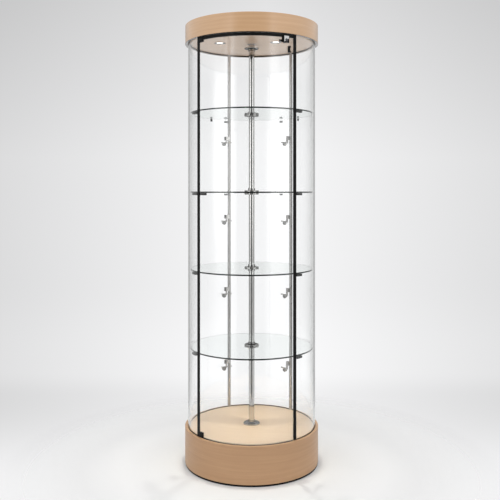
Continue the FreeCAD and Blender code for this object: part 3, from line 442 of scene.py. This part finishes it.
materials = {
    # One beech veneer in four copies. The differences between them are painted light and shade: the deck copy is
    # lightest, the canopy and roof copies come next, and the plinth copy is darkest.
    "canopy_veneer": band_veneer("canopy_veneer", paint(208, 170, 132), paint(186, 146, 106), 1.0),
    "plinth_veneer": band_veneer("plinth_veneer", paint(191, 153, 117), paint(171, 133, 99), 0.2),
    "deck_veneer": flat_veneer("deck_veneer", paint(241, 212, 180), paint(228, 196, 162)),
    "roof_veneer": flat_veneer("roof_veneer", paint(206, 170, 136), paint(188, 150, 114)),
    "plywood": plywood(),
    "ceiling_laminate": ceiling_laminate(),
    "curved_glass": curved_glass(),
    "shelf_glass": shelf_glass(),
    "black_trim": black_finish("black_trim", grey(0.003), 0.42, 900.0),
    "black_metal": black_finish("black_metal", grey(0.004), 0.32, 1600.0),
    "polished_steel": steel("polished_steel", (0.74, 0.735, 0.725, 1.0), 0.04, 0.06,
                            (60.0, 60.0, 2400.0), 0.12),
    # hub_steel is the polished steel made darker: painted shade standing in for the darker reflections on the hubs
    # and the base flange.
    "hub_steel": steel("hub_steel", (0.50, 0.495, 0.485, 1.0), 0.04, 0.05,
                       (500.0, 500.0, 900.0), 0.1),
    "brushed_steel": steel("brushed_steel", (0.58, 0.57, 0.555, 1.0), 0.2, 0.16,
                           (900.0, 900.0, 18.0), 0.3),
    "dark_steel": steel("dark_steel", (0.10, 0.10, 0.11, 1.0), 0.34, 0.2,
                        (200.0, 200.0, 600.0), 0.3),
    "cast_aluminium": cast_aluminium(),
    "white_nylon": moulded("white_nylon", grey(0.78), grey(0.70), 0.4, 1200.0),
    "clear_grey_plastic": moulded("clear_grey_plastic", grey(0.30), grey(0.24), 0.22, 900.0),
    "lit_lens": lit_lens("lit_lens", (1.0, 0.98, 0.94, 1.0), (1.0, 0.94, 0.86, 1.0), 2.2),
    "lamp_lens": lamp_lens(),
}
OWN_FINISH = {"canopy_band": "canopy_veneer", "plinth_band": "plinth_veneer",
              "plinth_deck": "deck_veneer", "roof_board": "roof_veneer",
              "lock_housing": "black_metal", "lock_cam": "dark_steel", "shelf_hubs": "hub_steel",
              "shelf_hub_discs": "hub_steel", "base_flange": "hub_steel"}


def dress_nodes():
    """Give every CAD node the finish that its slot names."""
    for part in frame["record"]["subparts"]:
        name = part["node"]
        slot = part["material_slot"]
        finish = OWN_FINISH.get(name, slot)
        for holder in frame["nodes"][name].material_slots:
            holder.material = materials[finish]


# ---------------------------------------------------------------- pieces

MM = 0.001
SHARP_EDGE = math.radians(30)
PIN_SIDES = 20
KNOB_SIDES = 28
LIGHT_SIDES = 64
KNURL_DEPTH = 0.09
PLUG_ARC = range(-30, 151, 15)


def seat(origin, axis, side):
    """A placing matrix at origin, with Z along axis and X along side."""
    return Matrix.Translation(origin) @ Matrix((side, axis.cross(side), axis)).transposed().to_4x4()


def spun(mesh, outline, placing, sides=48, knurl=0.0, closed=False):
    """Turn (radius, height) points, in millimetres, about Z. knurl sinks every second side."""
    rings = []
    for radius, height in outline:
        ring = []
        for step in range(sides if radius else 1):
            turn = math.tau * step / sides
            reach = radius * MM * (1 - knurl * (step % 2))
            ring.append(mesh.verts.new(placing @ Vector((
                reach * math.cos(turn), reach * math.sin(turn), height * MM))))
        rings.append(ring)
    for low, high in zip(rings, rings[1:] + (rings[:1] if closed else [])):
        for step in range(sides):
            after = (step + 1) % sides
            corners = (low[step % len(low)], low[after % len(low)],
                       high[after % len(high)], high[step % len(high)])
            mesh.faces.new(list(dict.fromkeys(corners)))


def add_piece(name, mesh, finish, slot, body, *nodes):
    """Close a mesh into a piece that rides on a body and stands for the nodes."""
    bmesh.ops.recalc_face_normals(mesh, faces=mesh.faces)
    for face in mesh.faces:
        face.smooth = True
    for edge in mesh.edges:
        edge.smooth = edge.calc_face_angle(0.0) < SHARP_EDGE
    data = bpy.data.meshes.new(name)
    mesh.to_mesh(data)
    mesh.free()
    data.materials.append(materials[finish])
    piece = bpy.data.objects.new(name, data)
    bpy.context.scene.collection.objects.link(piece)
    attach(piece, body)
    if nodes:
        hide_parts(*nodes)


# Outlines, (radius, height) in millimetres. Heights of a lamp grow towards its lens.
LAMP_SHELL = ((0, -6), (6.8, -6), (8.6, -5.5), (9.1, -4.9), (9.1, -4.2), (8, -4), (8, -3.4),
              (9.3, -3.2), (9.3, -2.5), (8, -2.3), (8, -1.7), (9.5, -1.5), (9.5, 3.2), (9.9, 3.5),
              (10, 4), (10, 5.4), (9.6, 6), (8.7, 6), (8.2, 5.6), (8, 2.5), (0, 2.5))
LAMP_LENS = ((0, 4.7), (3, 4.5), (5.5, 4), (7.2, 3.3), (7.8, 2.8), (7.8, 2.6), (0, 2.6))
LAMP_KNOB = ((0, -0.2), (2.1, -0.2), (2.1, -3), (2.6, -3.6), (3, -4.2), (3, -11.6), (2.4, -13),
             (1.2, -13), (1, -12.5), (0, -12.5))
LAMP_DROP = 8 * MM
HEAD_ACROSS = {"left": 36 * MM, "right": 16 * MM}
PIN_FOOT = {"left": 8 * MM, "right": 28 * MM}
PIN_LENGTH = {"left": 43, "right": 26}
DOWN = Vector((0, 0, -1))


def lamp_pin(length):
    """Outline of a tilt pin with a chamfered tip."""
    return (0, 0), (2, 0), (2, length - 0.6), (1.6, length), (0, length)


def make_spot_lamps():
    """Each lamp: finned shell with its pin, prismatic lens and knurled tilt knob."""
    for joint in frame["joints"]:
        if not joint["name"].startswith("tilt_"):
            continue
        side = joint["name"].split("_")[1]
        node = "spot_lamp_" + joint["name"].removeprefix("tilt_")
        pivot = Vector(joint["pos_m"])
        across = -Vector(joint["axis"])
        inward = across.cross(DOWN)
        head = seat(pivot + across * HEAD_ACROSS[side] + DOWN * LAMP_DROP, inward, across)
        pin_way = across if side == "left" else -across
        pin = seat(pivot + across * PIN_FOOT[side], pin_way, DOWN)
        shell = bmesh.new()
        spun(shell, LAMP_SHELL, head)
        spun(shell, lamp_pin(PIN_LENGTH[side]), pin, PIN_SIDES)
        add_piece(node + "_shell", shell, "brushed_steel", "brushed_steel", joint["child"], node)
        lens = bmesh.new()
        spun(lens, LAMP_LENS, head)
        add_piece(node + "_lens", lens, "lamp_lens", "brushed_steel", joint["child"], node)
        knob = bmesh.new()
        spun(knob, LAMP_KNOB, pin, KNOB_SIDES, KNURL_DEPTH)
        add_piece(node + "_knob", knob, "brushed_steel", "brushed_steel", joint["child"], node)


LIGHT_BEZEL = ((21.5, 22), (21.5, 2), (25, 2), (25, 0.9), (24.4, 0.2), (23.6, 0), (21.6, 0),
               (20.6, 0.6), (17.6, 1.4), (15.6, 2.3), (14.8, 3.2), (14.8, 22))
LIGHT_LENS = ((0, 1.9), (5, 2), (9, 2.3), (12.5, 2.8), (14.6, 3.5), (14.6, 7), (0, 7))
BEZEL_RADIUS = 25 * MM


def ceiling_light_places():
    """Name and middle of each ceiling light, at the face of its bezel."""
    low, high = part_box("ceiling_light_bezels")
    return (("left", Vector((low[0] + BEZEL_RADIUS, low[1] + BEZEL_RADIUS, low[2]))),
            ("right", Vector((high[0] - BEZEL_RADIUS, high[1] - BEZEL_RADIUS, low[2]))))


def make_ceiling_lights():
    """Two recessed lights: rolled bezel with a stepped reflector, and a domed lens."""
    for side, place in ceiling_light_places():
        placing = Matrix.Translation(place)
        bezel = bmesh.new()
        spun(bezel, LIGHT_BEZEL, placing, LIGHT_SIDES, closed=True)
        add_piece(side + "_light_bezel", bezel, "polished_steel", "polished_steel", "cabinet",
                  "ceiling_light_bezels")
        lens = bmesh.new()
        spun(lens, LIGHT_LENS, placing, LIGHT_SIDES)
        add_piece(side + "_light_lens", lens, "lit_lens", "lit_lens", "cabinet",
                  "ceiling_light_lenses")


CASE_RADIUS = 298.4 * MM
LOCK_FACE_DEPTH = 0.35 * MM
LOCK_FACE_SIDE = 11.4 * MM
LOCK_FACE_TOP = 18 * MM
LOCK_FACE_STEP = 8 * MM
LOCK_FACE_FOOT = (-7.6 * MM, -5.5 * MM)
PLUG_CLEARANCE = 7 * MM


def make_lock_face():
    """Bright plate on the lock case, cut round the barrel."""
    joint = next(joint for joint in frame["joints"] if joint["name"] == "lock_turn")
    x, y, level = joint["pos_m"]
    turn = math.atan2(x, -y)
    outline = [(-LOCK_FACE_SIDE, LOCK_FACE_TOP), (-LOCK_FACE_SIDE, LOCK_FACE_FOOT[1]),
               LOCK_FACE_FOOT]
    outline += [(-PLUG_CLEARANCE * math.cos(math.radians(step)),
                 PLUG_CLEARANCE * math.sin(math.radians(step))) for step in PLUG_ARC]
    outline += [(LOCK_FACE_SIDE, LOCK_FACE_STEP), (LOCK_FACE_SIDE, LOCK_FACE_TOP)]
    mesh = bmesh.new()
    layers = []
    for radius in (CASE_RADIUS, CASE_RADIUS + LOCK_FACE_DEPTH):
        layers.append([mesh.verts.new((
            radius * math.sin(turn + across / radius), -radius * math.cos(turn + across / radius),
            level + rise)) for across, rise in outline])
        mesh.faces.new(layers[-1])
    back, front = layers
    for index in range(len(outline)):
        after = (index + 1) % len(outline)
        mesh.faces.new((back[index], back[after], front[after], front[index]))
    add_piece("lock_face", mesh, "polished_steel", "polished_steel", "door")


# ---------------------------------------------------------------- studio

VIEW_TURN = math.radians(6.5)
EYE_DISTANCE = 3.274
EYE_HEIGHT = 1.223
FOCAL_LENGTH = 52.03
FRAME_SHIFT = (-0.0032, -0.1193)
DOWNLIGHT = 160.0
DOWNLIGHT_SIZE = 0.036
DOWNLIGHT_SPREAD = 36
WARM_WHITE = (1.0, 0.95, 0.89)
BOX_DISTANCE = 2.1
BOX_WIDTH = 1.2
BOX_LEVELS = (0.1, 3.2)
TOP_BOX_SIZE = 2.2
TOP_BOX_LEVEL = 3.4
FLOOR_RADIUS = 1.4
FLOOR_FADE = (0.7, 1.15)
# Radii over which the painted shadow round the plinth fades out.
FLOOR_SHADOW = (0.36, 0.62)
LIGHT_BOUNCES = 32

# The wall as seen: its middle, how far to the side it fades, and its brightness.
WALL_MIDDLE = 0.02
WALL_SIDE = 0.36
WALL_LEVEL = 0.955
SIDE_FADE = 0.66
UPPER_START = 0.045
UPPER_FADE = 0.88
SKIRTING = (0.12, 0.23)
SKIRTING_GAIN = 0.045
CREASE = (0.25, 0.285)
CREASE_LOSS = 0.075
FLOOR_EDGE = (0.285, 0.42)
FLOOR_LEVEL = 0.93
SEEN_THROUGH_GAIN = 0.15
BRIGHTEST = 1.08
COOL_WHITE = 0.992

# The studio as mirrored, from 0 behind the tower to 1 at the camera.
BACK_EDGE = (0.004, 0.02)
BACK_LEVEL = 0.93
SIDE_LEVEL = 0.5
FRONT_EDGE = (0.935, 0.97)
FRONT_LEVEL = 0.14
BOX_START = (0.59, 0.72)
BOX_END = (0.9, 0.945)
BOX_RISE = (-0.2, 0.02)
BOX_FOOT = 0.26
BOX_GLOW = 1.2
UPPER_EDGE = (0.23, 0.32)
UPPER_LEVEL = 0.85
GROUND_EDGE = (0.28, 0.42)
GROUND_LEVEL = 0.86

# The light that reaches matt surfaces: around, from above and from below.
EVEN_LEVEL = 0.5
EVEN_TOP = (0.2, 0.6)
EVEN_TOP_GAIN = 0.5
EVEN_FOOT = (0.1, 0.5)
EVEN_FOOT_GAIN = 0.4
AHEAD = Vector((-math.sin(VIEW_TURN), math.cos(VIEW_TURN), 0))
RIGHT = Vector((math.cos(VIEW_TURN), math.sin(VIEW_TURN), 0))


def make_camera():
    """The viewing angle, level, with the frame shifted down to take in the plinth."""
    data = bpy.data.cameras.new("camera")
    data.lens = FOCAL_LENGTH
    data.shift_x, data.shift_y = FRAME_SHIFT
    camera = bpy.data.objects.new("camera", data)
    camera.location = -AHEAD * EYE_DISTANCE + Vector((0, 0, EYE_HEIGHT))
    camera.rotation_euler = (math.radians(90), 0, VIEW_TURN)
    bpy.context.scene.collection.objects.link(camera)
    bpy.context.scene.camera = camera


def add_lamp(name, shape, size, radiance, place, facing, colour=(1.0, 1.0, 1.0), spread=180):
    """A lamp that lights things and isn't seen itself. facing is the way its light goes."""
    width, height = size
    data = bpy.data.lights.new(name, "AREA")
    data.shape = shape
    data.size = width
    data.size_y = height
    data.energy = radiance * math.pi * width * height
    data.color = colour
    data.spread = math.radians(spread)
    lamp = bpy.data.objects.new(name, data)
    lamp.location = place
    lamp.rotation_euler = facing.to_track_quat("-Z", "Y").to_euler()
    lamp.visible_camera = False
    lamp.visible_glossy = False
    lamp.visible_transmission = False
    bpy.context.scene.collection.objects.link(lamp)


def soft_box(name, turn, radiance):
    """An upright soft box that faces the tower. turn is counted from the camera, + to the right."""
    low, high = BOX_LEVELS
    way = Matrix.Rotation(VIEW_TURN + math.radians(turn), 3, "Z") @ Vector((0, -1, 0))
    add_lamp(name, "RECTANGLE", (BOX_WIDTH, high - low), radiance,
             way * BOX_DISTANCE + Vector((0, 0, (low + high) / 2)), -way)


def ceiling_lamps():
    """The light that falls from the two ceiling lights."""
    for side, place in ceiling_light_places():
        add_lamp(side + "_downlight", "ELLIPSE", (DOWNLIGHT_SIZE, DOWNLIGHT_SIZE), DOWNLIGHT,
                 place + DOWN * 2 * MM, DOWN, WARM_WHITE, DOWNLIGHT_SPREAD)


def make_world():
    """A pale backdrop for the eye, the studio for gloss, and even light for the rest."""
    world = bpy.data.worlds.new("studio")
    bpy.context.scene.world = world
    look = Look(world)
    way = look.node("TexCoord", output="Generated")
    up = look.node("SeparateXYZ", sockets={"Vector": way}, output="Z")
    side = look.node("VectorMath", {"operation": "DOT_PRODUCT"}, {0: way, 1: RIGHT}, "Value")
    ahead = look.node("VectorMath", {"operation": "DOT_PRODUCT"}, {0: way, 1: AHEAD}, "Value")
    level = look.length(side, ahead) + 0.0001
    across = side / level
    rise = up / look.maths("MAXIMUM", look.maths("ABSOLUTE", ahead), level * 0.6)
    fall = 0.0 - rise

    off_centre = look.maths("MINIMUM", look.maths("ABSOLUTE", across - WALL_MIDDLE), WALL_SIDE)
    wall = WALL_LEVEL - off_centre * SIDE_FADE
    wall = wall * (1.0 - look.limited(rise - UPPER_START, 0.0, 0.4) * UPPER_FADE)
    wall = wall * (1.0 + look.ease(fall, *SKIRTING) * SKIRTING_GAIN
                   - look.ease(fall, *CREASE) * CREASE_LOSS)
    backdrop = wall + look.ease(fall, *FLOOR_EDGE) * (FLOOR_LEVEL - wall)

    toward = 0.5 - ahead / level * 0.5
    studio = (BACK_LEVEL - look.ease(toward, *BACK_EDGE) * (BACK_LEVEL - SIDE_LEVEL)
              - look.ease(toward, *FRONT_EDGE) * (SIDE_LEVEL - FRONT_LEVEL))
    boxes = look.ease(toward, *BOX_START) * (1.0 - look.ease(toward, *BOX_END))
    studio = studio + boxes * (BOX_FOOT + look.ease(rise, *BOX_RISE) * BOX_GLOW)
    studio = studio + look.ease(rise, *UPPER_EDGE) * (UPPER_LEVEL - studio)
    ground = look.ease(fall, *GROUND_EDGE)
    studio = studio + ground * (GROUND_LEVEL - studio)

    path = look.node("LightPath", output="Glossy Depth")
    through = path.other("Is Transmission Ray")
    shown = look.limited(backdrop * (1.0 + through * SEEN_THROUGH_GAIN), 0.0, BRIGHTEST)
    pale = look.vector(shown * COOL_WHITE, shown * COOL_WHITE, shown)
    reflected = look.blend(path > 0.5, pale, look.vector(studio, studio, studio))
    even = (EVEN_LEVEL + look.ease(up, *EVEN_TOP) * EVEN_TOP_GAIN
            + look.ease(0.0 - up, *EVEN_FOOT) * EVEN_FOOT_GAIN)
    colour = look.blend(path.other("Diffuse Depth") > 0.5, reflected,
                        look.vector(even, even, even))
    light = look.node("Background", sockets={"Color": colour, "Strength": 1.0})
    look.node("OutputWorld", sockets={"Surface": light})


def make_floor():
    """A pale floor that fades into the backdrop, with a painted shadow ring round the plinth."""
    bpy.ops.mesh.primitive_circle_add(vertices=96, radius=FLOOR_RADIUS, fill_type="NGON")
    floor = bpy.context.active_object
    floor.name = "floor"
    look = new_look("floor")
    x, y, z = look.place()
    radius = look.length(x, y)
    far = look.ease(radius, *FLOOR_FADE)
    speckle = look.noise(look.vector(x, y, z), 60.0, 2.0)
    # Painted shadow: the floor's colour darkens from grey 0.815 to 0.72 towards the plinth.
    plinth_shadow = 1.0 - look.ease(radius, *FLOOR_SHADOW)
    paper = look.principled({
        "Base Color": look.blend(speckle * 0.15 + plinth_shadow * 0.85, grey(0.815), grey(0.72)),
        "Roughness": 0.8,
        "Specular IOR Level": 0.2,
    })
    clear = look.node("BsdfTransparent")
    floor.data.materials.append(look.close(
        look.node("MixShader", sockets={0: far, 1: paper, 2: clear})))


def light_studio():
    """Two tall soft boxes, one overhead, the tower's own lights and the backdrop."""
    soft_box("left_box", -44, 0.76)
    soft_box("right_box", 38, 0.72)
    add_lamp("top_box", "RECTANGLE", (TOP_BOX_SIZE, TOP_BOX_SIZE), 1.2,
             Vector((0, 0, TOP_BOX_LEVEL)), DOWN)
    ceiling_lamps()
    make_world()
    make_floor()


scene = bpy.context.scene
scene.view_settings.view_transform = "Standard"
scene.cycles.max_bounces = LIGHT_BOUNCES
scene.cycles.transmission_bounces = LIGHT_BOUNCES
scene.cycles.transparent_max_bounces = LIGHT_BOUNCES

dress_nodes()
make_spot_lamps()
make_ceiling_lights()
make_lock_face()
make_camera()
light_studio()
